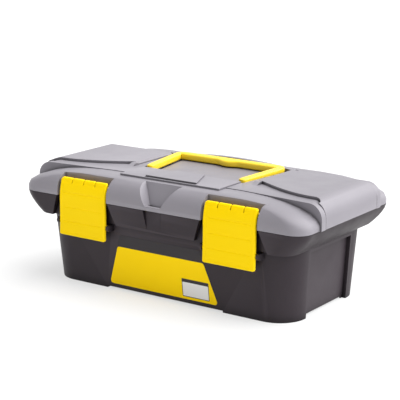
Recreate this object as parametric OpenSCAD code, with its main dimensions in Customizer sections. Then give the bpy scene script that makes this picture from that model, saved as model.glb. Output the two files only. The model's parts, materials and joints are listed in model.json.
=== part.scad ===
// Plastic tool box with a lift-out tray and two covered bins in the lid.
// The front faces -Y, +X is to the right, and the feet stand on Z = 0.

/* [Body] */
// Length over the rim
rim_l = 328; // [310:1:370]
// Depth over the rim
rim_d = 168; // [160:1:190]
// Height of the rim above the surface the box stands on
rim_z = 90; // [84:1:120]
// Corner radius of the rim in plan
rim_r = 17; // [14:1:26]
// Height of the collar under the rim
collar_h = 21; // [19:0.5:24]
// Step from the collar in to the wall, front and back
shoulder_d = 5.5; // [4:0.5:7]
// Lean of the collar, front and back
collar_lean = 3; // [1:0.5:4]
// Overhang of the collar beyond the wall at each end
overhang_l = 18.5; // [16:0.5:22]
// Corner radius of the wall at the shoulder, in plan
wall_r = 34; // [28:1:38]
// Draft of each end wall from the shoulder down to the feet
end_draft = 4.5; // [3:0.5:7]
// Draft of the front and back walls
front_draft = 8.5; // [6:0.5:10]
// Corner radius of the feet in plan
foot_r = 28; // [22:1:32]
// Thickness of the walls
wall_t = 2.6; // [2:0.1:3.4]
// Thickness of the floor
floor_t = 3; // [2:0.1:4]
// Height of the end arches between the corner feet
end_arch_h = 2; // [1.5:0.1:4]
// Height of the arches between the feet, front and back
front_arch_h = 1.9; // [0.8:0.1:1.9]
// Width of a foot along the front
foot_w = 72; // [50:1:85]
// Depth of the recessed panel in each end wall
panel_in = 4; // [2:0.5:5]
// Width of the recessed panel in each end wall
panel_w = 74; // [50:1:84]

/* [Tray seat] */
// Width of the ledge that carries the tray, at each end
ledge_l = 6; // [4.5:0.5:8]
// Width of the ledge at front and back
ledge_d = 1.5; // [1:0.1:2]

/* [Lid] */
// Gap between the lid and the rim of the body
seam_gap = 0.4; // [0.2:0.1:0.8]
// Height of the upright band round the lid
band_h = 4.5; // [3:0.5:7]
// Height of the lid's rounded pillow above its lower edge
pillow_h = 23.1; // [22:0.1:25]
// Height of the raised wing above the pillow
wing_h = 0.6; // [0.4:0.1:2]
// Depth of the raised wing, front to back
wing_d = 110; // [106:1:114]
// Rounding of the wing at the ends of the lid
wing_r = 14; // [10:1:16]
// Thickness of the lid's outer band
lid_wall = 6; // [4:0.5:8]
// Thickness of the floors and walls moulded into the lid
lid_floor_t = 2.4; // [1.8:0.1:3]

/* [Bins in the lid] */
// Distance from the handle's recess to the axis of each cover's hinge
cover_in = 6; // [5.5:0.5:8.5]
// Thickness of a cover
cover_t = 2.4; // [2:0.1:3]
// Width of a cover's flap where it hangs over the end of the lid
flap_w = 95; // [88:1:99]
// Depth of a cover along its hinge
cover_hinge_d = 58; // [50:1:60]
// Distance of the hinge's middle behind the middle of the box
cover_hinge_y = 16; // [15:0.5:18]
// Radius of a cover's hinge barrel
cover_barrel_r = 2.2; // [2:0.1:2.6]
// Radius of a cover's pivot stubs
cover_stub_r = 1.2; // [1:0.1:1.4]
// Length of a cover's pivot stubs
cover_stub_l = 3; // [2.5:0.1:4]
// Depth of the bins
bin_depth = 16; // [12:0.5:17]
// Size of the bins, front to back
bin_d = 54; // [40:1:56]
// Thickness of the fixed wall across each bin
bin_wall_t = 1.6; // [1.2:0.1:2.2]

/* [Handle] */
// Outside width of the handle across the grip
handle_w = 131; // [127:1:135]
// Outside width of the handle across its pivots
handle_foot_w = 118; // [114:1:122]
// Reach of the handle from its pivots to the back of the grip
handle_reach = 65; // [58:1:66]
// Angle at which the handle lies, grip up
handle_tilt = 1.5; // [0.5:0.5:3]
// Height of the handle's middle above its pivots
handle_rise = 2.2; // [1:0.1:2.5]
// Width of the handle's arms
arm_w = 8; // [7:0.5:10]
// Depth of the grip, front to back
grip_d = 10; // [8:0.5:12]
// Thickness of the handle
handle_t = 7; // [6:0.5:8]
// Radius of the handle's pivot stubs
handle_stub_r = 2; // [1.6:0.1:2.4]
// Length of the handle's pivot stubs
handle_stub_l = 6.5; // [5:0.5:7]
// How far the finger swell stands in from the grip
swell = 4; // [2:0.5:6]
// Distance of the handle's pivots in front of the middle of the box
handle_pivot_y = 13; // [10:1:14]
// Space beside the handle in its recess
recess_side = 2; // [1:0.1:3]
// Depth of the recess below the top of the wing
recess_depth = 7.5; // [7.5:0.5:10]
// Front edge of the recess, in front of the pivots
recess_front = 8; // [7:0.5:9]

/* [Latches] */
// Distance from the end of the rim to the middle of each latch
latch_in = 78; // [70:1:84]
// Width of a latch
latch_w = 57; // [45:1:60]
// Height of a latch's top above the rim
latch_up = 18.5; // [15:0.5:19.5]
// Length of a latch below its pivot
latch_tail = 13.5; // [10:0.5:15]
// Thickness of a latch
latch_t = 2.6; // [2:0.1:3.2]
// How far a latch stands proud of the rim
latch_proud = 1; // [0.6:0.1:2]
// How far the top of a latch curls back
latch_top_in = 4.3; // [3:0.1:6]
// How far the bottom of a latch flares out
latch_flare = 1.2; // [0.6:0.1:2]
// Radius of a latch's pivot stubs
latch_stub_r = 1.8; // [1.4:0.1:2.2]
// Radius of the barrel behind each latch
latch_barrel_r = 3; // [2.8:0.1:3.2]
// Height of a latch's pivot below the shoulder
latch_pivot_drop = 4; // [3:0.5:5]
// Thickness of the ears that hold a latch
ear_t = 3; // [2.4:0.1:4]
// Spread of the body's pocket beside a latch, at the shoulder
pocket_spread = 12; // [8:0.5:14]
// Space beside a latch in the lid
pocket_side = 2.4; // [1.5:0.1:4]
// Depth of the latch pockets below the lid's band
pocket_in = 13.5; // [12:0.5:15]

/* [Rear hinge] */
// Distance from the end of the rim to the middle of each hinge
hinge_in = 69; // [60:1:84]
// Radius of the hinge knuckles
knuckle_r = 4.5; // [4:0.1:5]
// Length of one knuckle
knuckle_l = 14; // [10:0.5:18]
// Radius of the hinge pins
pin_r = 1.6; // [1.2:0.1:2]

/* [Tray] */
// Depth of the tray below its flange
tray_depth = 30; // [22:1:40]
// Width of the flange round the tray
tray_flange = 7; // [6:0.5:8]
// Thickness of the tray's flange
flange_t = 2.4; // [2:0.1:3]
// Thickness of the tray's walls
tray_wall = 1.8; // [1.5:0.1:2.4]
// Draft of the tray's walls
tray_draft = 5.5; // [3:0.5:8]
// Length of the tray's lifting grip
tray_grip_l = 120; // [90:1:130]
// Height of the tray's lifting grip above the flange
tray_grip_h = 14; // [12:0.5:16]

/* [Label] */
// Width of the label at its lower edge
label_w = 131; // [100:1:140]
// Width of the label at its upper edge
label_top_w = 94; // [70:1:100]
// Height of the label's lower edge above the surface the box stands on
label_z = 5.5; // [5:0.5:12]
// Height of the label
label_h = 53.5; // [35:0.5:55]
// Thickness of the label
label_t = 0.3; // [0.2:0.05:0.5]

/* [Fits] */
// Gap between pieces that move past each other
gap = 0.3; // [0.2:0.05:0.5]
// Clearance round pivot stubs and pins, on the radius
running = 0.06; // [0.03:0.01:0.1]

/* [Hidden] */
$fn = 48;
slice_t = 0.1;
over = 1;
reach = 400;
sides = [-1, 1];

// Body
shoulder_z = rim_z - collar_h;
wall_l = rim_l - 2 * overhang_l;
wall_d = rim_d - 2 * (shoulder_d + collar_lean);
foot_l = wall_l - 2 * end_draft;
foot_d = wall_d - 2 * front_draft;
end_draft_angle = atan(end_draft / shoulder_z);
front_draft_angle = atan(front_draft / shoulder_z);
floor_z = end_arch_h + floor_t;
skirt_t = 5;
panel_top = 5;
arch_in = 3;
notch_in = 2.5;
notch_foot_w = 16;
notch_top_w = 22;
hall_l = wall_l - 2 * (wall_t + panel_in);
hall_d = wall_d - 2 * wall_t;
ledge_rise = 4;
ledge_z = shoulder_z + ledge_rise;
well_l = hall_l + 2 * ledge_l;
well_d = hall_d + 2 * ledge_d;

// Lid
lid_z = rim_z + seam_gap;
pillow_z = lid_z + pillow_h;
pillow_end = 75;
pillow_front = 19;
lid_roof_t = 4;
wing_z = pillow_z + wing_h;
end_proud = 2;
end_x = rim_l / 2 + end_proud;
wing_bend = 9;
wing_bend_x = 75;

// Covers and bins
cover_axis_x = handle_w / 2 + recess_side + cover_in;
cover_lift = 0.2;
cover_z = wing_z + cover_lift;
cover_end_r = wing_r + cover_lift + cover_t;
cover_flare_x = end_x - cover_end_r;
cover_step = 9;
cover_nose = 4;
hinge_front_y = cover_hinge_y - cover_hinge_d / 2;
hinge_back_y = cover_hinge_y + cover_hinge_d / 2;
flap_in = cover_t + cover_lift;
bin_x = cover_axis_x + cover_barrel_r + lid_floor_t;
bin_end_x = cover_flare_x - lid_floor_t;
lug_t = cover_stub_l + 1;
lug_side = 0.8;
lug_ramp = 5;
stub_play = 0.2;

// Handle
handle_drop = 3;
handle_z = wing_z - handle_drop;
handle_y = -handle_pivot_y;
swell_r = 30;
grip_corner = grip_d;
arm_y = handle_reach - grip_corner;
bed_side = 1.5;
bed_front = 6;
bed_back = 1;
recess_w = handle_w + 2 * recess_side;
recess_z = wing_z - recess_depth;
recess_front_y = handle_y - recess_front;
recess_back_y = handle_y + handle_reach + 2;
crest_h = 4;
crest_d = 5;
crest_end = 2;

// Panel in front of the handle
front_panel_w = 116;
front_panel_d = 37;
front_panel_h = 1.2;
tab_front_w = 60;
tab_back_w = 32;
tab_h = 1.2;
tab_in = 4;
slot_d = 2.5;
slot_depth = 3;

// Backing of the pockets in the front of the lid
block_front_y = -(rim_d / 2 - lid_wall / 2);
block_front_h = 11.5;
block_bend_in = 8;
block_bend_y = -(rim_d / 2 - block_bend_in);
block_bend_h = 17;

// Thumb recess
thumb_top_w = 44;
thumb_foot_w = 18;
thumb_sill = 4;
thumb_foot_in = 9;
thumb_top_in = 20;
thumb_z = lid_z + thumb_sill;
thumb_foot_y = -(rim_d / 2 - thumb_foot_in);
thumb_top_y = -(rim_d / 2 - thumb_top_in);
thumb_slot_d = 5.5;
thumb_slot_side = 1;
thumb_slot_floor = 1.2;

// Latches
latch_x = rim_l / 2 - latch_in;
pivot_in = 3.2;
pivot_y = -(rim_d / 2 - pivot_in);
pivot_z = shoulder_z - latch_pivot_drop;
latch_top = rim_z + latch_up;
latch_foot = pivot_z - latch_tail;
latch_mid_drop = 3;
latch_mid = rim_z - latch_mid_drop;
latch_front = -(rim_d / 2 + latch_proud);
latch_nose_h = 3;
latch_nose_drop = 5;
latch_nose_z = latch_top - latch_nose_drop - latch_nose_h;
ear_r = latch_stub_r + 1.2;
ear_gap = 1.2;
ear_end_t = 0.8;
stub_short = 0.3;
latch_stub_w = latch_w + 2 * (ear_gap + ear_t - ear_end_t - stub_short);
body_pocket_in = 7;
pocket_y = -(rim_d / 2 - pocket_in);
pocket_rim = 3;
pocket_rim_w = latch_w + 2 * pocket_rim;

// Rear hinge
hinge_x = rim_l / 2 - hinge_in;
hinge_y = rim_d / 2;
hinge_z = rim_z + seam_gap / 2;
notch_r = knuckle_r + 0.5;

// Tray
tray_l = well_l - 2;
tray_d = well_d - 2;
tray_r = wall_r - 1;
bowl_l = tray_l - 2 * tray_flange;
bowl_d = hall_d - 6;
bowl_r = wall_r - wall_t - 3;
tray_z = ledge_z - tray_depth;
grip_wall_t = 2.6;
grip_slot_h = 9;
grip_bar_h = 5;

// Label
label_r = 4;
label_air = 0.05;

// Half the difference between the hinge at the back and the latches at the front
centre_y = (knuckle_r - latch_proud) / 2;

// Flat shapes

module rounded(l, d, r) {
    square([l - 2 * r, d], center = true);
    square([l, d - 2 * r], center = true);
    for (x = sides, y = sides)
        translate([x * (l / 2 - r), y * (d / 2 - r)])
            circle(r);
}

// A quarter of a disc, up and to the right of its centre
module quarter(r) {
    intersection() {
        circle(r);
        square(r);
    }
}

// A thin slice of a rounded block, the building element of the drafted shells
module slice(l, d, r, z) {
    translate([0, 0, z])
        linear_extrude(slice_t)
            rounded(l, d, r);
}

// A bar along X, centred on x, through y and z
module bar(r, l, x, y, z) {
    translate([x, y, z])
        rotate([0, 90, 0])
            cylinder(h = l, r = r, center = true);
}

// A pocket in the front face, between two heights, open to the front
module front_pocket(back_y, z0, z1, foot_w, top_w) {
    translate([0, back_y, 0])
        rotate([90, 0, 0])
            linear_extrude(reach)
                polygon([[-foot_w / 2, z0], [foot_w / 2, z0], [top_w / 2, z1], [-top_w / 2, z1]]);
}

// Body

module body_outside() {
    hull() {
        slice(foot_l, foot_d, foot_r, 0);
        slice(wall_l, wall_d, wall_r, shoulder_z);
    }
    hull()
        for (t = [0:0.2:1])
            slice(rim_l - 2 * (overhang_l - collar_lean) * pow(t, 1.5), rim_d - 2 * collar_lean * pow(t, 1.5),
                rim_r, rim_z - slice_t - (collar_h - slice_t) * t);
}

module body_hollow() {
    hull() {
        slice(foot_l - 2 * (wall_t + panel_in), foot_d - 2 * wall_t, foot_r - wall_t, floor_z);
        slice(hall_l, hall_d, wall_r - wall_t, ledge_z);
    }
    translate([0, 0, ledge_z])
        linear_extrude(reach)
            rounded(well_l, well_d, wall_r);
}

module body_underside() {
    translate([0, 0, -over])
        linear_extrude(end_arch_h + over)
            rounded(foot_l - 2 * skirt_t, foot_d - 2 * skirt_t, foot_r - skirt_t);
    translate([0, 0, (front_arch_h - over) / 2])
        cube([foot_l - 2 * foot_w, reach, front_arch_h + over], center = true);
    translate([0, 0, (end_arch_h - over) / 2])
        cube([reach, panel_w - 2 * arch_in, end_arch_h + over], center = true);
}

module end_panel() {
    translate([foot_l / 2 - panel_in, -panel_w / 2, 0])
        rotate([0, end_draft_angle, 0])
            cube([reach, panel_w, shoulder_z - panel_top]);
}

module latch_ears() {
    for (x = sides)
        translate([x * (latch_w / 2 + ear_gap + ear_t / 2), 0, 0]) {
            bar(ear_r, ear_t, 0, pivot_y, pivot_z);
            translate([-ear_t / 2, pivot_y, pivot_z - ear_r])
                cube([ear_t, -pivot_y - wall_d / 2 + wall_t / 2, 2 * ear_r]);
        }
}

module knuckles_body(r, grow) {
    for (h = sides, k = sides)
        bar(r, knuckle_l + 2 * grow, h * hinge_x + k * (knuckle_l + gap), hinge_y, hinge_z);
}

module knuckles_lid(r, grow) {
    for (h = sides)
        bar(r, knuckle_l + 2 * grow, h * hinge_x, hinge_y, hinge_z);
}

module pin_bores() {
    for (h = sides)
        bar(pin_r + running, 3 * knuckle_l + 2 * gap + over, h * hinge_x, hinge_y, hinge_z);
}

module body_tub() {
    color("#3f3a40")
        difference() {
            union() {
                difference() {
                    body_outside();
                    body_hollow();
                    body_underside();
                    for (m = [0, 1])
                        mirror([m, 0, 0])
                            end_panel();
                    for (x = sides)
                        translate([x * latch_x, 0, 0])
                            front_pocket(-(rim_d / 2 - body_pocket_in), shoulder_z - over, rim_z + over,
                                latch_w + 2 * pocket_spread, pocket_rim_w);
                    front_pocket(-(rim_d / 2 - notch_in), shoulder_z + over, rim_z + over,
                        notch_foot_w, notch_top_w);
                    knuckles_lid(notch_r, gap);
                }
                for (x = sides)
                    translate([x * latch_x, 0, 0])
                        latch_ears();
                knuckles_body(knuckle_r, 0);
            }
            pin_bores();
            for (x = sides)
                bar(latch_stub_r + running, latch_stub_w + 2 * stub_short, x * latch_x, pivot_y, pivot_z);
        }
}

// Lid

module pillow(inset, top, z0) {
    hull() {
        slice(rim_l - 2 * inset, rim_d - 2 * inset, rim_r - inset / 2, z0);
        for (a = [0:15:90])
            slice(rim_l - 2 * (inset + pillow_end * (1 - cos(a))),
                rim_d - 2 * (inset + pillow_front * (1 - cos(a))), rim_r - inset / 2,
                lid_z + band_h + (top - slice_t - lid_z - band_h) * sin(a));
    }
}

// Outline of the wing along the box, with rounded ends
module wing_outline(end) {
    translate([-end, lid_z])
        square([2 * end, wing_z - wing_r - lid_z]);
    translate([-end + wing_r, lid_z])
        square([2 * (end - wing_r), wing_z - lid_z]);
    for (m = [0, 1])
        mirror([m, 0])
            translate([end - wing_r, wing_z - wing_r])
                quarter(wing_r);
}

module wing_band(end, y0, y1) {
    translate([0, y1, 0])
        rotate([90, 0, 0])
            linear_extrude(y1 - y0)
                wing_outline(end);
}

// Plan that bends the wing's front edge back towards the middle of the box
module wing_plan() {
    far_x = 2 * end_x - wing_bend_x;
    far_y = -wing_d / 2 - wing_bend;
    polygon([[-wing_bend_x, wing_bend - wing_d / 2], [wing_bend_x, wing_bend - wing_d / 2],
        [far_x, far_y], [far_x, wing_d], [-far_x, wing_d], [-far_x, far_y]]);
}

module wing() {
    strip_y = flap_w / 2 + gap;
    intersection() {
        union() {
            wing_band(end_x - flap_in, -wing_d / 2, wing_d / 2);
            wing_band(end_x, strip_y, wing_d / 2);
            wing_band(end_x, -wing_d / 2, -strip_y);
        }
        linear_extrude(reach)
            wing_plan();
    }
}

// Seats of the covers' flaps in the ends of the lid
module flap_seats() {
    for (x = sides)
        translate([x * (end_x - flap_in + reach / 2), 0, lid_z + reach / 2 - over])
            cube([reach, flap_w + 2 * gap, reach], center = true);
}

module bin_block(grow, z0) {
    for (x = sides)
        translate([x * (bin_x + bin_end_x) / 2, cover_hinge_y, z0 + reach / 2])
            cube([bin_end_x - bin_x + 2 * grow, bin_d + 2 * grow, reach], center = true);
}

module bin_walls() {
    for (x = sides)
        translate([x * (bin_x + bin_end_x) / 2, cover_hinge_y, wing_z - bin_depth / 2 - lid_floor_t])
            cube([bin_wall_t, bin_d + over, bin_depth], center = true);
}

// Recess of the handle, which widens towards the grip as the handle does
module recess(grow, z0) {
    widen = (handle_w - handle_foot_w) / 2 / arm_y;
    front = handle_foot_w / 2 + recess_side + grow - widen * recess_front;
    back = recess_w / 2 + grow;
    y0 = recess_front_y - grow;
    y1 = handle_y + arm_y;
    y2 = recess_back_y + grow;
    translate([0, 0, z0])
        linear_extrude(reach)
            polygon([[-front, y0], [front, y0], [back, y1], [back, y2], [-back, y2], [-back, y1]]);
}

module lid_outside() {
    pillow(0, pillow_z, lid_z);
    wing();
}

// Blocks moulded under the roof that carry the bins, the recess and the latch pockets
module lid_inside_blocks() {
    intersection() {
        union() {
            bin_block(lid_floor_t, wing_z - bin_depth - lid_floor_t);
            recess(lid_floor_t, recess_z - lid_floor_t);
        }
        translate([0, 0, wing_z - reach / 2])
            cube([2 * cover_flare_x + 4 * lid_wall, 2 * (recess_back_y + lid_floor_t), reach], center = true);
    }
    for (x = sides)
        front_block(x * latch_x, latch_w + 2 * (pocket_side + lid_floor_t), pocket_y);
    front_block(0, thumb_top_w + 2 * lid_floor_t, thumb_top_y);
}

// Solid backing behind a pocket in the front of the lid
module front_block(x, w, back_y) {
    top = pillow_z - lid_roof_t / 2;
    translate([x - w / 2, 0, 0])
        rotate([90, 0, 90])
            linear_extrude(w)
                polygon([[block_front_y, lid_z], [block_front_y, lid_z + block_front_h],
                    [block_bend_y, lid_z + block_bend_h], [back_y, top], [back_y + lid_floor_t, top],
                    [back_y + lid_floor_t, lid_z]]);
}

// Hollow for the thumb, with a back that leans away
module thumb_recess() {
    intersection() {
        front_pocket(thumb_top_y, thumb_z, wing_z, thumb_foot_w, thumb_top_w);
        translate([-reach / 2, 0, 0])
            rotate([90, 0, 90])
                linear_extrude(reach)
                    polygon([[thumb_foot_y, thumb_z], [thumb_top_y, wing_z],
                        [-reach, wing_z], [-reach, thumb_z]]);
    }
    translate([thumb_slot_side - thumb_foot_w / 2, thumb_foot_y - thumb_slot_d, lid_z + thumb_slot_floor])
        cube([thumb_foot_w - 2 * thumb_slot_side, thumb_slot_d, thumb_z - lid_z]);
}

module front_panel() {
    y0 = recess_front_y - front_panel_d;
    translate([-front_panel_w / 2, y0, wing_z - over - wing_h])
        cube([front_panel_w, front_panel_d, front_panel_h + over + wing_h]);
    translate([0, 0, wing_z])
        linear_extrude(front_panel_h + tab_h)
            polygon([[-tab_front_w / 2, y0 + tab_in], [tab_front_w / 2, y0 + tab_in],
                [tab_back_w / 2, recess_front_y], [-tab_back_w / 2, recess_front_y]]);
}

module front_slot() {
    slot_y = recess_front_y - front_panel_d + tab_in - slot_d;
    translate([-tab_front_w / 2, slot_y, wing_z + front_panel_h - slot_depth])
        cube([tab_front_w, slot_d, reach]);
}

// Raised floor inside the handle, on which the grip lies
module handle_bed() {
    front = handle_foot_w / 2 - arm_w - bed_side;
    back = handle_w / 2 - arm_w - bed_side;
    end = handle_reach - bed_back;
    intersection() {
        translate([0, handle_y, handle_z])
            rotate([handle_tilt, 0, 0])
                translate([0, 0, handle_rise - handle_t / 2 - gap - reach])
                    linear_extrude(reach)
                        polygon([[-front, -bed_front], [front, -bed_front], [back, arm_y], [back, end],
                            [-back, end], [-back, arm_y]]);
        translate([-reach / 2, -reach / 2, recess_z - lid_floor_t / 2])
            cube(reach);
    }
}

// Low arched rim behind the handle
module back_crest() {
    r = (pow(recess_w / 2, 2) + pow(crest_h, 2)) / (2 * crest_h);
    intersection() {
        translate([crest_end - recess_w / 2, recess_back_y, wing_z - over])
            cube([recess_w - 2 * crest_end, crest_d, crest_h + over]);
        translate([0, 0, wing_z + crest_h - r])
            rotate([90, 0, 0])
                cylinder(h = reach, r = r, center = true, $fn = 200);
    }
}

// A lug beside a cover's hinge, with a ramp on the side away from the cover
module cover_lug() {
    top = wing_z + cover_lift + cover_barrel_r;
    translate([-cover_barrel_r - lug_side, 0, 0])
        rotate([90, 0, 90])
            linear_extrude(2 * (cover_barrel_r + lug_side))
                polygon([[0, wing_z - over], [0, top], [lug_t, top], [lug_t + lug_ramp, wing_z],
                    [lug_t + lug_ramp, wing_z - over]]);
}

module cover_lugs() {
    for (x = sides, m = [0, 1])
        translate([x * cover_axis_x, cover_hinge_y, 0])
            mirror([0, m, 0])
                translate([0, cover_hinge_d / 2 + gap, 0])
                    cover_lug();
}

module cover_bores() {
    bore_l = cover_hinge_d + 2 * (cover_stub_l + stub_play);
    for (x = sides)
        translate([x * cover_axis_x, cover_hinge_y, cover_z])
            rotate([90, 0, 0]) {
                cylinder(h = cover_hinge_d + 2 * gap, r = cover_barrel_r + gap, center = true);
                cylinder(h = bore_l, r = cover_stub_r + running, center = true);
            }
}

module lid_shell() {
    color("#a3a1aa")
        difference() {
            union() {
                difference() {
                    union() {
                        difference() {
                            lid_outside();
                            pillow(lid_wall, pillow_z - lid_roof_t, lid_z - over);
                        }
                        lid_inside_blocks();
                        front_panel();
                    }
                    flap_seats();
                    bin_block(0, wing_z - bin_depth);
                    recess(0, recess_z);
                    front_slot();
                    knuckles_body(notch_r, gap);
                    for (x = sides)
                        translate([x * latch_x, 0, 0])
                            front_pocket(pocket_y, lid_z - over, wing_z + over,
                                latch_w + 2 * pocket_side, latch_w + 2 * pocket_side);
                    thumb_recess();
                }
                bin_walls();
                handle_bed();
                cover_lugs();
                back_crest();
                knuckles_lid(knuckle_r, 0);
            }
            pin_bores();
            cover_bores();
            bar(handle_stub_r + running, handle_foot_w + 2 * (handle_stub_l + gap), 0, handle_y, handle_z);
        }
}

// Latches

function latch_face(z) = latch_front + latch_flare + (z > latch_mid
    ? latch_top_in * pow((z - latch_mid) / (latch_top - latch_mid), 2)
    : -latch_flare * pow((latch_mid - z) / (latch_mid - latch_foot), 2));

module latch() {
    steps = 14;
    nose_y = latch_face(latch_nose_z) + latch_t / 2;
    heights = [for (i = [0:steps]) latch_foot + (latch_top - latch_foot) * i / steps];
    color("#f5cc12") {
        translate([-latch_w / 2, 0, 0])
            rotate([90, 0, 90])
                linear_extrude(latch_w)
                    polygon(concat([for (z = heights) [latch_face(z), z]],
                        [for (i = [steps:-1:0]) [latch_face(heights[i]) + latch_t, heights[i]]]));
        bar(latch_barrel_r, latch_w, 0, pivot_y, pivot_z);
        bar(latch_stub_r, latch_stub_w, 0, pivot_y, pivot_z);
        translate([-latch_w / 2, nose_y, latch_nose_z])
            cube([latch_w, pocket_y - gap - nose_y, latch_nose_h]);
    }
}

module latch_left() {
    translate([-latch_x, 0, 0])
        latch();
}

module latch_right() {
    translate([latch_x, 0, 0])
        latch();
}

// Handle

// Plan of the handle, measured from its pivots
module handle_outline() {
    foot_x = handle_foot_w / 2;
    grip_x = handle_w / 2;
    for (x = sides) {
        translate([x * (foot_x - arm_w / 2), 0])
            circle(arm_w / 2);
        polygon([[x * foot_x, 0], [x * grip_x, arm_y],
            [x * (grip_x - arm_w), arm_y], [x * (foot_x - arm_w), 0]]);
    }
    translate([-handle_w / 2 + grip_corner, handle_reach - grip_d])
        square([handle_w - 2 * grip_corner, grip_d]);
    for (x = sides)
        intersection() {
            translate([x * (handle_w / 2 - grip_corner), handle_reach - grip_corner])
                circle(grip_corner);
            translate([x * (handle_w / 2 - grip_corner / 2), handle_reach - grip_corner / 2])
                square(grip_corner, center = true);
        }
    intersection() {
        translate([0, handle_reach - grip_d + swell_r - swell])
            circle(swell_r);
        translate([-swell_r, handle_reach - grip_d - swell])
            square([2 * swell_r, grip_d]);
    }
}

module carry_handle() {
    stub_x = (handle_foot_w + handle_stub_l - over) / 2;
    color("#f5cc12")
        translate([0, handle_y, handle_z])
            rotate([handle_tilt, 0, 0]) {
                translate([0, 0, handle_rise - handle_t / 2])
                    linear_extrude(handle_t)
                        handle_outline();
                for (x = sides)
                    bar(handle_stub_r, handle_stub_l + over, x * stub_x, 0, 0);
            }
}

// Covers

module cover_outline(end, top, r) {
    translate([0, lid_z + seam_gap])
        square([end, top - r - lid_z - seam_gap]);
    translate([0, lid_z + seam_gap])
        square([end - r, top - lid_z - seam_gap]);
    translate([end - r, top - r])
        quarter(r);
}

module cover() {
    step_y = flap_w / 2 - cover_step;
    start_x = cover_axis_x + cover_nose;
    steps = 8;
    front_edge = [for (i = [0:steps]) [start_x + (cover_flare_x - start_x) * i / steps,
        hinge_front_y - (step_y + hinge_front_y) * sin(90 * i / steps)]];
    flare = [for (i = [1:steps]) [cover_flare_x + cover_step * sin(90 * i / steps),
        -step_y - cover_step * (1 - cos(90 * i / steps))]];
    color("#b1afb7") {
        intersection() {
            translate([0, reach / 2, 0])
                rotate([90, 0, 0])
                    linear_extrude(reach)
                        difference() {
                            cover_outline(end_x, cover_z + cover_t, cover_end_r);
                            translate([-over, -over])
                                cover_outline(end_x - cover_t + over, cover_z + over, cover_end_r - cover_t);
                        }
            linear_extrude(reach)
                polygon(concat([[cover_axis_x, hinge_front_y]], front_edge, flare,
                    [[reach, -flap_w / 2], [reach, flap_w / 2],
                    [cover_flare_x + cover_step, flap_w / 2], [cover_flare_x, hinge_back_y],
                    [cover_axis_x, hinge_back_y]]));
        }
        translate([cover_axis_x, cover_hinge_y, cover_z])
            rotate([90, 0, 0]) {
                cylinder(h = cover_hinge_d, r = cover_barrel_r, center = true);
                cylinder(h = cover_hinge_d + 2 * cover_stub_l, r = cover_stub_r, center = true);
            }
    }
}

module organizer_cover_right() {
    cover();
}

module organizer_cover_left() {
    mirror([1, 0, 0])
        cover();
}

// Tray

module tote_tray() {
    grip_top = ledge_z + flange_t + tray_grip_h;
    color("#4a464c")
        union() {
            difference() {
                union() {
                    hull() {
                        slice(bowl_l - 2 * tray_draft, bowl_d - 2 * tray_draft, bowl_r, tray_z);
                        slice(bowl_l, bowl_d, bowl_r, ledge_z);
                    }
                    translate([0, 0, ledge_z])
                        linear_extrude(flange_t)
                            rounded(tray_l, tray_d, tray_r);
                }
                hull() {
                    slice(bowl_l - 2 * (tray_draft + tray_wall), bowl_d - 2 * (tray_draft + tray_wall),
                        bowl_r - tray_wall, tray_z + tray_wall);
                    slice(bowl_l - 2 * tray_wall, bowl_d - 2 * tray_wall, bowl_r - tray_wall,
                        ledge_z + flange_t);
                }
            }
            difference() {
                translate([0, grip_wall_t / 2, 0])
                    rotate([90, 0, 0])
                        linear_extrude(grip_wall_t)
                            polygon([[-bowl_l / 2 + tray_draft + 1, tray_z + tray_wall / 2],
                                [bowl_l / 2 - tray_draft - 1, tray_z + tray_wall / 2],
                                [bowl_l / 2 - 1, ledge_z], [tray_grip_l / 2 + tray_grip_h, ledge_z],
                                [tray_grip_l / 2, grip_top], [-tray_grip_l / 2, grip_top],
                                [-tray_grip_l / 2 - tray_grip_h, ledge_z], [-bowl_l / 2 + 1, ledge_z]]);
                translate([0, 0, grip_top - grip_bar_h - grip_slot_h / 2])
                    cube([tray_grip_l - 3 * grip_slot_h, reach, grip_slot_h], center = true);
            }
            translate([0, 0, grip_top - grip_bar_h / 2])
                bar(grip_bar_h / 2, tray_grip_l, 0, 0, 0);
        }
}

// Hinge pins

module hinge_pin(x) {
    color("#b8bcc0")
        bar(pin_r, 3 * knuckle_l + 2 * gap, x, hinge_y, hinge_z);
}

module hinge_pin_left() {
    hinge_pin(-hinge_x);
}

module hinge_pin_right() {
    hinge_pin(hinge_x);
}

// Label

module label_outline() {
    slope = (label_w - label_top_w) / 2 / label_h;
    polygon([[-label_w / 2, label_r], [-label_w / 2 + label_r, 0], [label_w / 2 - label_r, 0],
        [label_w / 2, label_r], [label_top_w / 2 + slope * label_r, label_h - label_r],
        [label_top_w / 2 - label_r, label_h], [-label_top_w / 2 + label_r, label_h],
        [-label_top_w / 2 - slope * label_r, label_h - label_r]]);
}

module front_label() {
    color("#fbcb10")
        translate([0, -foot_d / 2, 0])
            rotate([90 + front_draft_angle, 0, 0])
                translate([0, label_z, label_air])
                    linear_extrude(label_t)
                        label_outline();
}

module centred() {
    translate([0, -centre_y, 0])
        children();
}

centred() body_tub();
centred() lid_shell();
centred() latch_left();
centred() latch_right();
centred() carry_handle();
centred() organizer_cover_left();
centred() organizer_cover_right();
centred() tote_tray();
centred() hinge_pin_left();
centred() hinge_pin_right();
centred() front_label();
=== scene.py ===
import json
import math

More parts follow.
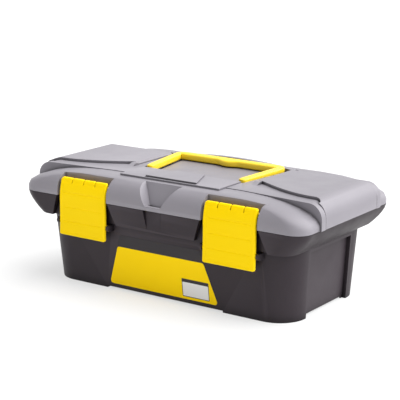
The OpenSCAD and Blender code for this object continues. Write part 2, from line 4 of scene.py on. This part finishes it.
import bpy
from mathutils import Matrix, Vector


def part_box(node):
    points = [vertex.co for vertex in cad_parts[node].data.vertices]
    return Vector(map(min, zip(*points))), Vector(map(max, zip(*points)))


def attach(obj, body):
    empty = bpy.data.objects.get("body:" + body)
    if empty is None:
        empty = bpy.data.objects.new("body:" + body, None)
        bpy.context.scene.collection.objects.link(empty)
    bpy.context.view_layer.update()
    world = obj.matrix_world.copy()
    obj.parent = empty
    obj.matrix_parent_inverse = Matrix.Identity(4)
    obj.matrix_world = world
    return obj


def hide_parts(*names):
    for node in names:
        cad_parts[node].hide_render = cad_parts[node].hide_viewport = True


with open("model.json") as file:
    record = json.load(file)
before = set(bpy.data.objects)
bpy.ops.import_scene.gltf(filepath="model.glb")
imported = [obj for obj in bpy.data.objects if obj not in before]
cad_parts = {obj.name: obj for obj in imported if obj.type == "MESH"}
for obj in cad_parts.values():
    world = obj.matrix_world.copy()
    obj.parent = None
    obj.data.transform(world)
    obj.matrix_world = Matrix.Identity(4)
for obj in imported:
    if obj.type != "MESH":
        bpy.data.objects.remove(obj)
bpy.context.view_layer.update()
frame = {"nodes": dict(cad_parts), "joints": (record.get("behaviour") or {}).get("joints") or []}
nodes = frame["nodes"]

# Sizes and places in millimetres, in the part's frame
MM = 0.001


def box_mm(node):
    low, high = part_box(node)
    return Vector(low) / MM, Vector(high) / MM


def pivot_mm(joint):
    found = next(j for j in frame["joints"] if j["name"] == joint)
    return Vector(found["pos_m"]) / MM


# Latches: outer form from the frame, relief as given
latch_low, latch_high = box_mm("latch_right")
latch_pivot = pivot_mm("latch_right_hinge")
LATCH_W = 57.0
LATCH_FOOT = latch_low.z
LATCH_TOP = latch_high.z
LATCH_FRONT = latch_low.y
LATCH_MID = latch_pivot.z + 22.0
LATCH_FLARE = 1.2
LATCH_TOP_IN = 4.3
LATCH_T = 2.6
LATCH_EDGE_R = 1.1
LATCH_CORNER_R = 2.2
LATCH_BARREL_R = 3.0
LATCH_STUB_R = 1.8
LATCH_STUB_REACH = (latch_high.x - latch_low.x) / 2
LINE_HALF = 0.9
BORDER_IN = 3.6
BORDER_DEPTH = 0.18
LINE_IN = 4.4
LINE_DEPTH = 0.35
NOTCH_L = 4.8
NOTCH_HALF = 1.0
NOTCH_DEPTH = 1.3
NOTCH_DIP = 1.6
QUARTERS = (0.25, 0.5, 0.75)
NOSE_Y = latch_high.y
NOSE_Z = LATCH_TOP - 8.0
NOSE_H = 3.0
NOSE_EDGE = 0.8

# Handle
handle_pivot = pivot_mm("handle_hinge")
HANDLE_TILT = math.radians(1.5)
HANDLE_RISE = 2.2
HANDLE_REACH = box_mm("carry_handle")[1].y - handle_pivot.y - 0.1
HANDLE_W = 131.0
HANDLE_FOOT_W = 118.0
ARM_W = 8.0
GRIP_D = 10.0
HANDLE_T = 7.0
SWELL = 4.0
SWELL_HALF = 15.0
HANDLE_STUB_R = 2.0
HANDLE_STUB_REACH = HANDLE_FOOT_W / 2 + 6.5

# Label, measured up the front wall from its foot
label_high = box_mm("front_label")[1]
FRONT_LEAN = math.atan(8.5 / 69.0)
LABEL_Z = 5.5
LABEL_H = 53.5
LABEL_W = 131.0
LABEL_TOP_W = 94.0
LABEL_AIR = 0.05
FIELD_TOP = 46.5
FIELD_IN = 0.6
FRAME_X = (24.0, 55.0)
FRAME_V = (8.6, 27.0)
FRAME_EDGE = 0.7
PANEL_TOP = 23.5
FOOT_Y = label_high.y + LABEL_Z * math.sin(FRONT_LEAN) + LABEL_AIR * math.cos(FRONT_LEAN)

# Where each layer of the label starts and ends, out from the wall
FILM_OUT = (LABEL_AIR, 0.18)
FIELD_OUT = (0.17, 0.24)
FRAME_OUT = (0.23, 0.27)
PANEL_OUT = (0.26, 0.3)

# Camera, fitted to the photograph: degrees, then metres and millimetres of lens
CAMERA_TURN = 35.169
CAMERA_RISE = 14.587
CAMERA_BACK = 1.29932
CAMERA_AIM = Vector((0, -0.00175, 0.065))
CAMERA_LENS = 118.19
CAMERA_SHIFT = (-0.0091, 0.0491)


# Mesh helpers

def add_piece(name, verts, faces, body, material, smooth=True):
    mesh = bpy.data.meshes.new(name)
    mesh.from_pydata([Vector(v) * MM for v in verts], [], faces)
    mesh.validate()
    if smooth:
        mesh.polygons.foreach_set("use_smooth", [True] * len(mesh.polygons))
    mesh.materials.append(material)
    piece = bpy.data.objects.new(name, mesh)
    bpy.context.scene.collection.objects.link(piece)
    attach(piece, body)
    return piece


class Shape:
    """Vertices and faces of one piece, gathered from several parts."""

    def __init__(self):
        self.verts = []
        self.faces = []

    def add(self, verts, faces):
        base = len(self.verts)
        self.verts.extend(tuple(v) for v in verts)
        self.faces.extend(tuple(base + i for i in f) for f in faces)

    def rod(self, x0, x1, y, z, radius, rim=0.3, sides=32):
        """A bar along X with softened ends."""
        rings = [(x0, radius - rim), (x0 + rim, radius), (x1 - rim, radius), (x1, radius - rim)]
        verts = []
        for x, r in rings:
            for k in range(sides):
                a = 2 * math.pi * k / sides
                verts.append((x, y + r * math.cos(a), z + r * math.sin(a)))
        faces = [tuple(range(sides)), tuple(3 * sides + k for k in reversed(range(sides)))]
        for i in range(3):
            for k in range(sides):
                n = (k + 1) % sides
                faces.append((i * sides + k, (i + 1) * sides + k, (i + 1) * sides + n, i * sides + n))
        self.add(verts, faces)


# Materials

def new_material(name):
    material = bpy.data.materials.new(name)
    material.use_nodes = True
    tree = material.node_tree
    return material, tree, tree.nodes["Principled BSDF"]


def noise(tree, scale, detail=4.0):
    place = tree.nodes.new("ShaderNodeTexCoord")
    node = tree.nodes.new("ShaderNodeTexNoise")
    node.inputs["Scale"].default_value = scale
    node.inputs["Detail"].default_value = detail
    tree.links.new(place.outputs["Object"], node.inputs["Vector"])
    return node.outputs["Fac"]


def spread(tree, value, low, high):
    node = tree.nodes.new("ShaderNodeMapRange")
    node.inputs["From Min"].default_value = 0.3
    node.inputs["From Max"].default_value = 0.7
    node.inputs["To Min"].default_value = low
    node.inputs["To Max"].default_value = high
    tree.links.new(value, node.inputs["Value"])
    return node.outputs["Result"]


def blend_colour(tree, factor, first, second):
    node = tree.nodes.new("ShaderNodeMix")
    node.data_type = "RGBA"
    for socket in node.inputs:
        if socket.name == "A" and socket.type == "RGBA":
            socket.default_value = (*first, 1)
        if socket.name == "B" and socket.type == "RGBA":
            socket.default_value = (*second, 1)
    tree.links.new(factor, node.inputs["Factor"])
    return next(s for s in node.outputs if s.type == "RGBA")


def painted_shade_factor(tree, reach):
    """A factor that falls where other surfaces stand within reach, as in gaps and grooves: painted shade,
    multiplied into the colour.
    """
    near = tree.nodes.new("ShaderNodeAmbientOcclusion")
    near.samples = 8
    near.inputs["Distance"].default_value = reach * MM
    factor = tree.nodes.new("ShaderNodeMapRange")
    factor.inputs["From Min"].default_value = 0.25
    factor.inputs["From Max"].default_value = 0.8
    factor.inputs["To Min"].default_value = 0.15
    factor.inputs["To Max"].default_value = 1.0
    tree.links.new(near.outputs["AO"], factor.inputs["Value"])
    return factor.outputs["Result"]


def shaded(tree, colour, factor):
    node = tree.nodes.new("ShaderNodeVectorMath")
    node.operation = "SCALE"
    tree.links.new(colour, node.inputs[0])
    tree.links.new(factor, node.inputs["Scale"])
    return node.outputs["Vector"]


def bumped(tree, shader, scale, depth):
    bump = tree.nodes.new("ShaderNodeBump")
    bump.inputs["Strength"].default_value = 0.6
    bump.inputs["Distance"].default_value = depth * MM
    tree.links.new(noise(tree, scale, 2.0), bump.inputs["Height"])
    tree.links.new(bump.outputs["Normal"], shader.inputs["Normal"])


def plastic(name, colour, worn, rough, grain_scale, grain_depth, gloss=0.5, painted_shade_reach=2.0):
    """Moulded plastic: uneven gloss, a fine grain, slightly paler edges and painted shade in gaps and
    grooves.
    """
    material, tree, shader = new_material(name)
    geometry = tree.nodes.new("ShaderNodeNewGeometry")
    edge = tree.nodes.new("ShaderNodeMapRange")
    edge.inputs["From Min"].default_value = 0.52
    edge.inputs["From Max"].default_value = 0.62
    edge.inputs["To Max"].default_value = 0.35
    tree.links.new(geometry.outputs["Pointiness"], edge.inputs["Value"])
    tint = tree.nodes.new("ShaderNodeMath")
    tint.operation = "ADD"
    tree.links.new(edge.outputs["Result"], tint.inputs[0])
    tree.links.new(spread(tree, noise(tree, 18.0), 0.0, 0.12), tint.inputs[1])
    mixed = blend_colour(tree, tint.outputs["Value"], colour, worn)
    # Painted shade: the colour is darkened where other surfaces stand close, in gaps, grooves and under
    # parts.
    tree.links.new(shaded(tree, mixed, painted_shade_factor(tree, painted_shade_reach)), shader.inputs["Base Color"])
    tree.links.new(spread(tree, noise(tree, 40.0), rough - 0.05, rough + 0.07), shader.inputs["Roughness"])
    shader.inputs["Specular IOR Level"].default_value = gloss
    bumped(tree, shader, grain_scale, grain_depth)
    return material


# The last number of each plastic is how far, in millimetres, its painted shade in gaps reaches.
body_plastic = plastic("body_plastic", (0.028, 0.021, 0.026), (0.07, 0.058, 0.068), 0.45, 1600.0, 0.05,
                       gloss=0.2, painted_shade_reach=14.0)
tray_plastic = plastic("tray_plastic", (0.05, 0.046, 0.052), (0.1, 0.09, 0.1), 0.45, 1600.0, 0.05,
                       gloss=0.35, painted_shade_reach=8.0)
lid_plastic = plastic("lid_plastic", (0.222, 0.21, 0.234), (0.33, 0.312, 0.345), 0.42, 1800.0, 0.03,
                      gloss=0.3, painted_shade_reach=6.0)
yellow_plastic = plastic("yellow_plastic", (0.93, 0.64, 0.0), (0.95, 0.7, 0.02), 0.36, 900.0, 0.015,
                         gloss=0.05, painted_shade_reach=1.5)
handle_yellow = plastic("handle_yellow", (0.93, 0.66, 0.02), (0.95, 0.72, 0.06), 0.34, 900.0, 0.015,
                        gloss=0.5, painted_shade_reach=1.5)
label_yellow = plastic("label_yellow", (1.0, 0.68, 0.0), (1.0, 0.7, 0.01), 0.4, 600.0, 0.01, 0.05)
label_dark = plastic("label_dark", (0.022, 0.018, 0.021), (0.045, 0.04, 0.045), 0.38, 600.0, 0.01, 0.25)
label_white = plastic("label_white", (0.78, 0.78, 0.78), (0.82, 0.82, 0.82), 0.45, 600.0, 0.01, 0.2)
pin_steel = plastic("pin_steel", (0.55, 0.55, 0.57), (0.7, 0.7, 0.72), 0.3, 2500.0, 0.02)
pin_steel.node_tree.nodes["Principled BSDF"].inputs["Metallic"].default_value = 1.0


# Shown CAD nodes: softened edges and smooth curves

def smooth_group(angle):
    group = bpy.data.node_groups.new("smooth_by_angle", "GeometryNodeTree")
    group.interface.new_socket("Geometry", in_out="INPUT", socket_type="NodeSocketGeometry")
    group.interface.new_socket("Geometry", in_out="OUTPUT", socket_type="NodeSocketGeometry")
    start = group.nodes.new("NodeGroupInput")
    end = group.nodes.new("NodeGroupOutput")
    faces = group.nodes.new("GeometryNodeSetShadeSmooth")
    faces.domain = "FACE"
    edges = group.nodes.new("GeometryNodeSetShadeSmooth")
    edges.domain = "EDGE"
    edges.inputs["Shade Smooth"].default_value = False
    bend = group.nodes.new("GeometryNodeInputMeshEdgeAngle")
    sharp = group.nodes.new("FunctionNodeCompare")
    sharp.operation = "GREATER_THAN"
    sharp.inputs["B"].default_value = angle
    group.links.new(start.outputs[0], faces.inputs["Geometry"])
    group.links.new(faces.outputs["Geometry"], edges.inputs["Geometry"])
    group.links.new(bend.outputs["Unsigned Angle"], sharp.inputs["A"])
    group.links.new(sharp.outputs["Result"], edges.inputs["Selection"])
    group.links.new(edges.outputs["Geometry"], end.inputs[0])
    return group


SMOOTH = smooth_group(math.radians(40))


def shade_by_angle(thing):
    smooth = thing.modifiers.new("smooth", "NODES")
    smooth.node_group = SMOOTH


def dress(name, material, edge_mm):
    """Gives a CAD node its material and, as modifiers, rounded edges and smooth shading."""
    node = nodes[name]
    node.data.materials.clear()
    node.data.materials.append(material)
    weld = node.modifiers.new("weld", "WELD")
    weld.merge_threshold = 0.005 * MM
    flatten = node.modifiers.new("flatten", "DECIMATE")
    flatten.decimate_type = "DISSOLVE"
    flatten.angle_limit = math.radians(0.5)
    soften = node.modifiers.new("soften", "BEVEL")
    soften.width = edge_mm * MM
    soften.segments = 3
    soften.limit_method = "ANGLE"
    soften.angle_limit = math.radians(34)
    shade_by_angle(node)
    weigh = node.modifiers.new("weigh", "WEIGHTED_NORMAL")
    weigh.keep_sharp = True


dress("body_tub", body_plastic, 0.8)
dress("lid_shell", lid_plastic, 0.8)
dress("organizer_cover_left", lid_plastic, 0.7)
dress("organizer_cover_right", lid_plastic, 0.7)
dress("tote_tray", tray_plastic, 0.5)
dress("hinge_pin_left", pin_steel, 0.3)
dress("hinge_pin_right", pin_steel, 0.3)


# Latches

def latch_face(z):
    base = LATCH_FRONT + LATCH_FLARE
    if z > LATCH_MID:
        return base + LATCH_TOP_IN * ((z - LATCH_MID) / (LATCH_TOP - LATCH_MID)) ** 2
    return base - LATCH_FLARE * ((LATCH_MID - z) / (LATCH_MID - LATCH_FOOT)) ** 2


def groove(distance, half_width, depth):
    if abs(distance) >= half_width:
        return 0.0
    return depth * 0.5 * (1 + math.cos(math.pi * distance / half_width))


def notch(u, depth):
    return sum(groove(u - (share - 0.5) * LATCH_W, NOTCH_HALF, depth) for share in QUARTERS)


def latch_relief(u, v):
    """How far the face lies below the latch's outer form at u across and v up, in millimetres."""
    height = LATCH_TOP - LATCH_FOOT
    to_side = LATCH_W / 2 - abs(u)
    to_end = min(v, height - v)
    border = min(to_side, to_end)
    depth = 0.0
    if border < LATCH_EDGE_R:
        depth += LATCH_EDGE_R - math.sqrt(max(LATCH_EDGE_R ** 2 - (LATCH_EDGE_R - border) ** 2, 0.0))
    depth += groove(border - BORDER_IN, LINE_HALF, BORDER_DEPTH)
    if to_side > LINE_IN:
        for share in QUARTERS:
            depth += groove(v - share * height, LINE_HALF, LINE_DEPTH)
    if height - v < NOTCH_L:
        depth += notch(u, NOTCH_DEPTH)
    return depth


def top_dip(u, v):
    """How far the notches cut down into the top edge at u across and v up."""
    from_top = LATCH_TOP - LATCH_FOOT - v
    if from_top > NOTCH_L:
        return 0.0
    return notch(u, NOTCH_DIP) * (1 - from_top / NOTCH_L)


def corner_rounded(u, v, radius):
    height = LATCH_TOP - LATCH_FOOT
    over_u = radius - (LATCH_W / 2 - abs(u))
    over_v = radius - min(v, height - v)
    if over_u <= 0 or over_v <= 0:
        return u, v
    pull = max(over_u, over_v) / math.hypot(over_u, over_v)
    shift_u = over_u * (1 - pull)
    shift_v = over_v * (1 - pull)
    return u - math.copysign(shift_u, u), v + shift_v if v < height / 2 else v - shift_v


def latch_piece(name, middle_x):
    across = 144
    up = 96
    shape = Shape()
    front = []
    back = []
    for j in range(up + 1):
        for i in range(across + 1):
            u = (i / across - 0.5) * LATCH_W
            v = j / up * (LATCH_TOP - LATCH_FOOT)
            sunk = latch_relief(u, v)
            pu, pv = corner_rounded(u, v, LATCH_CORNER_R)
            z = LATCH_FOOT + pv - top_dip(u, v)
            y = latch_face(z)
            front.append((middle_x + pu, y + sunk, z))
            back.append((middle_x + pu, y + LATCH_T, z))
    row = across + 1
    count = len(front)
    faces = []
    for j in range(up):
        for i in range(across):
            a = j * row + i
            faces.append((a, a + 1, a + row + 1, a + row))
            faces.append((count + a, count + a + row, count + a + row + 1, count + a + 1))
    rim = list(range(across)) + [j * row + across for j in range(up)]
    rim += [up * row + across - i for i in range(across)] + [(up - j) * row for j in range(up)]
    for k, a in enumerate(rim):
        b = rim[(k + 1) % len(rim)]
        faces.append((a, count + a, count + b, b))
    shape.add(front + back, faces)
    half = LATCH_W / 2 - 0.3
    shape.rod(middle_x - half, middle_x + half, latch_pivot.y, latch_pivot.z, LATCH_BARREL_R)
    for side in (-1, 1):
        ends = sorted((middle_x + side * half, middle_x + side * LATCH_STUB_REACH))
        shape.rod(ends[0], ends[1], latch_pivot.y, latch_pivot.z, LATCH_STUB_R)
    nose_root = latch_face(NOSE_Z) + LATCH_T / 2
    nose_top = NOSE_Z + NOSE_H
    profile = [(nose_root, NOSE_Z), (NOSE_Y - NOSE_EDGE, NOSE_Z), (NOSE_Y, NOSE_Z + NOSE_EDGE),
               (NOSE_Y, nose_top - NOSE_EDGE), (NOSE_Y - NOSE_EDGE, nose_top), (nose_root, nose_top)]
    n = len(profile)
    ends = [(middle_x + side * half, y, z) for side in (-1, 1) for y, z in profile]
    nose_faces = [tuple(reversed(range(n))), tuple(range(n, 2 * n))]
    nose_faces += [(k, (k + 1) % n, n + (k + 1) % n, n + k) for k in range(n)]
    shape.add(ends, nose_faces)
    piece = add_piece(name + "_shell", shape.verts, shape.faces, name, yellow_plastic)
    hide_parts(name)
    shade_by_angle(piece)


latch_piece("latch_left", -latch_pivot.x)
latch_piece("latch_right", latch_pivot.x)


# Handle

def handle_path():
    """Points (x, y, half width, squash) of the handle's centre line, from the left nose to the right one."""
    nose_r = ARM_W / 2
    foot_x = HANDLE_FOOT_W / 2 - nose_r
    top_x = HANDLE_W / 2 - nose_r
    turn = GRIP_D
    bend_x = HANDLE_W / 2 - turn
    bend_y = HANDLE_REACH - turn
    half = []
    nose_steps = 9
    for k in range(1, nose_steps):
        a = math.pi / 2 * k / nose_steps
        half.append((-foot_x, -nose_r * math.cos(a), nose_r * math.sin(a), 0.7 + 0.3 * math.sin(a)))
    arm_steps = 20
    for k in range(arm_steps + 1):
        t = k / arm_steps
        half.append((-foot_x - (top_x - foot_x) * t, bend_y * t, nose_r, 1.0))
    turn_steps = 12
    for k in range(1, turn_steps + 1):
        a = math.pi / 2 * k / turn_steps
        wide = nose_r + (GRIP_D / 2 - nose_r) * k / turn_steps
        x = -bend_x - (turn - nose_r) * math.cos(a)
        y = bend_y + (turn - GRIP_D / 2) * math.sin(a)
        half.append((x, y, wide, 1.0))
    grip_steps = 60
    grip_y = HANDLE_REACH - GRIP_D / 2
    grip = [(-bend_x + 2 * bend_x * k / grip_steps, grip_y, GRIP_D / 2, 1.0) for k in range(1, grip_steps)]
    return half + grip + [(-x, y, wide, squash) for x, y, wide, squash in reversed(half)]


def handle_piece():
    sides = 40
    shape = Shape()
    path = handle_path()
    verts = []
    last = len(path) - 1
    for i, (x, y, wide, squash) in enumerate(path):
        ahead = path[min(i + 1, last)]
        behind = path[max(i - 1, 0)]
        along = Vector((ahead[0] - behind[0], ahead[1] - behind[1])).normalized()
        inward = Vector((along.y, -along.x))
        swell = groove(x, SWELL_HALF, SWELL) if y > HANDLE_REACH - GRIP_D else 0.0
        for k in range(sides):
            a = 2 * math.pi * k / sides
            side = math.copysign(math.sqrt(abs(math.cos(a))), math.cos(a))
            lift = math.copysign(math.sqrt(abs(math.sin(a))), math.sin(a))
            out = wide * side + swell * max(side, 0.0)
            verts.append((x + inward.x * out, y + inward.y * out, HANDLE_RISE + HANDLE_T / 2 * lift * squash))
    faces = [tuple(range(sides)), tuple((last * sides) + k for k in reversed(range(sides)))]
    for i in range(last):
        for k in range(sides):
            n = (k + 1) % sides
            faces.append((i * sides + k, i * sides + n, (i + 1) * sides + n, (i + 1) * sides + k))
    shape.add(verts, [tuple(reversed(f)) for f in faces])
    for side in (-1, 1):
        ends = sorted((side * (HANDLE_FOOT_W / 2 - 1), side * HANDLE_STUB_REACH))
        shape.rod(ends[0], ends[1], 0, 0, HANDLE_STUB_R)
    c, s = math.cos(HANDLE_TILT), math.sin(HANDLE_TILT)
    placed = [(x, handle_pivot.y + y * c - z * s, handle_pivot.z + y * s + z * c) for x, y, z in shape.verts]
    piece = add_piece("carry_handle_grip", placed, shape.faces, "handle", handle_yellow)
    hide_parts("carry_handle")
    shade_by_angle(piece)


handle_piece()


# Label: a thin printed film in layers on the front wall

def on_wall(u, v, out):
    """A point on the front wall, u across, v up the wall and out from it."""
    s, c = math.sin(FRONT_LEAN), math.cos(FRONT_LEAN)
    return (u, FOOT_Y - v * s - out * c, v * c - out * s)


def label_half(v):
    return LABEL_W / 2 - (LABEL_W - LABEL_TOP_W) / 2 * (v - LABEL_Z) / LABEL_H


def rounded_outline(corners, radius, steps=6):
    """Outline of a polygon with rounded corners, in the wall's plane."""
    out = []
    n = len(corners)
    for i in range(n):
        p = Vector(corners[i])
        before = (Vector(corners[i - 1]) - p).normalized()
        after = (Vector(corners[(i + 1) % n]) - p).normalized()
        half = before.angle(after) / 2
        cut = radius / math.tan(half)
        start = p + before * cut
        end = p + after * cut
        centre = p + (before + after).normalized() * (radius / math.sin(half))
        a = start - centre
        b = end - centre
        for k in range(steps + 1):
            t = k / steps
            direction = (a * (1 - t) + b * t).normalized()
            out.append(centre + direction * radius)
    return out


def film(name, corners, radius, layer, material):
    low, high = layer
    outline = rounded_outline(corners, radius)
    n = len(outline)
    verts = [on_wall(p.x, p.y, low) for p in outline] + [on_wall(p.x, p.y, high) for p in outline]
    faces = [tuple(reversed(range(n))), tuple(range(n, 2 * n))]
    faces += [(k, (k + 1) % n, n + (k + 1) % n, n + k) for k in range(n)]
    return add_piece(name, verts, faces, "body", material, smooth=False)


def label_band(v0, v1, inset):
    return [(-label_half(v0) + inset, v0), (label_half(v0) - inset, v0),
            (label_half(v1) - inset, v1), (-label_half(v1) + inset, v1)]


def upright(x0, x1, v0, v1):
    return [(x0, v0), (x1, v0), (x1, v1), (x0, v1)]


head = film("front_label_film", label_band(LABEL_Z, LABEL_Z + LABEL_H, 0.0), 3.5, FILM_OUT, label_dark)
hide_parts("front_label")
film("front_label_field", label_band(LABEL_Z + FIELD_IN, FIELD_TOP, FIELD_IN), 3.0, FIELD_OUT, label_yellow)
film("front_label_frame", upright(*FRAME_X, *FRAME_V), 1.0, FRAME_OUT, label_dark)
panel = upright(FRAME_X[0] + FRAME_EDGE, FRAME_X[1] - FRAME_EDGE, FRAME_V[0] + FRAME_EDGE, PANEL_TOP)
film("front_label_panel", panel, 0.8, PANEL_OUT, label_white)


# Stage, light and camera

def soft_sun(name, towards, strength, spread_deg):
    data = bpy.data.lights.new(name, "SUN")
    data.energy = strength
    data.angle = math.radians(spread_deg)
    lamp = bpy.data.objects.new(name, data)
    lamp.rotation_euler = Vector(towards).to_track_quat("Z", "Y").to_euler()
    bpy.context.scene.collection.objects.link(lamp)


def seen_rays(tree):
    """1 for the rays that show the background: camera, glossy and transmission rays."""
    path = tree.nodes.new("ShaderNodeLightPath")
    total = path.outputs["Is Camera Ray"]
    for name in ("Is Glossy Ray", "Is Transmission Ray"):
        either = tree.nodes.new("ShaderNodeMath")
        either.operation = "MAXIMUM"
        tree.links.new(total, either.inputs[0])
        tree.links.new(path.outputs[name], either.inputs[1])
        total = either.outputs["Value"]
    return total


def pale_floor(glow_share):
    """A paper floor. The share of plain white in what is seen of it softens the shadow."""
    mesh = bpy.data.meshes.new("floor")
    r = 6.0
    mesh.from_pydata([(-r, -r, 0), (r, -r, 0), (r, r, 0), (-r, r, 0)], [], [(0, 1, 2, 3)])
    material, tree, shader = new_material("floor_paper")
    shader.inputs["Roughness"].default_value = 0.9
    shader.inputs["Specular IOR Level"].default_value = 0.1
    tint = spread(tree, noise(tree, 6.0), 0.0, 1.0)
    paper = blend_colour(tree, tint, (0.86, 0.86, 0.86), (0.88, 0.88, 0.88))
    tree.links.new(paper, shader.inputs["Base Color"])
    glow = tree.nodes.new("ShaderNodeEmission")
    share = tree.nodes.new("ShaderNodeMath")
    share.operation = "MULTIPLY"
    share.inputs[1].default_value = glow_share
    tree.links.new(seen_rays(tree), share.inputs[0])
    blend = tree.nodes.new("ShaderNodeMixShader")
    tree.links.new(share.outputs["Value"], blend.inputs[0])
    tree.links.new(shader.outputs["BSDF"], blend.inputs[1])
    tree.links.new(glow.outputs["Emission"], blend.inputs[2])
    tree.links.new(blend.outputs["Shader"], tree.nodes["Material Output"].inputs["Surface"])
    mesh.materials.append(material)
    floor = bpy.data.objects.new("floor", mesh)
    bpy.context.scene.collection.objects.link(floor)


def white_world(fill):
    world = bpy.data.worlds.new("studio")
    world.use_nodes = True
    tree = world.node_tree
    background = tree.nodes["Background"]
    background.inputs["Color"].default_value = (1, 1, 1, 1)
    level = tree.nodes.new("ShaderNodeMapRange")
    level.inputs["To Min"].default_value = fill
    level.inputs["To Max"].default_value = 1.0
    tree.links.new(seen_rays(tree), level.inputs["Value"])
    tree.links.new(level.outputs["Result"], background.inputs["Strength"])
    bpy.context.scene.world = world


def photo_camera():
    turn = math.radians(CAMERA_TURN)
    rise = math.radians(CAMERA_RISE)
    back = Vector((math.sin(turn) * math.cos(rise), -math.cos(turn) * math.cos(rise), math.sin(rise)))
    data = bpy.data.cameras.new("camera")
    data.sensor_width = 36
    data.lens = CAMERA_LENS
    data.shift_x, data.shift_y = CAMERA_SHIFT
    camera = bpy.data.objects.new("camera", data)
    camera.location = back * CAMERA_BACK + CAMERA_AIM
    camera.rotation_euler = (math.pi / 2 - rise, 0, turn)
    bpy.context.scene.collection.objects.link(camera)
    bpy.context.scene.camera = camera


pale_floor(0.6)
white_world(0.52)
soft_sun("key", (0.5, 0.36, 0.79), 5.2, 80)
photo_camera()
bpy.context.scene.view_settings.view_transform = "Standard"
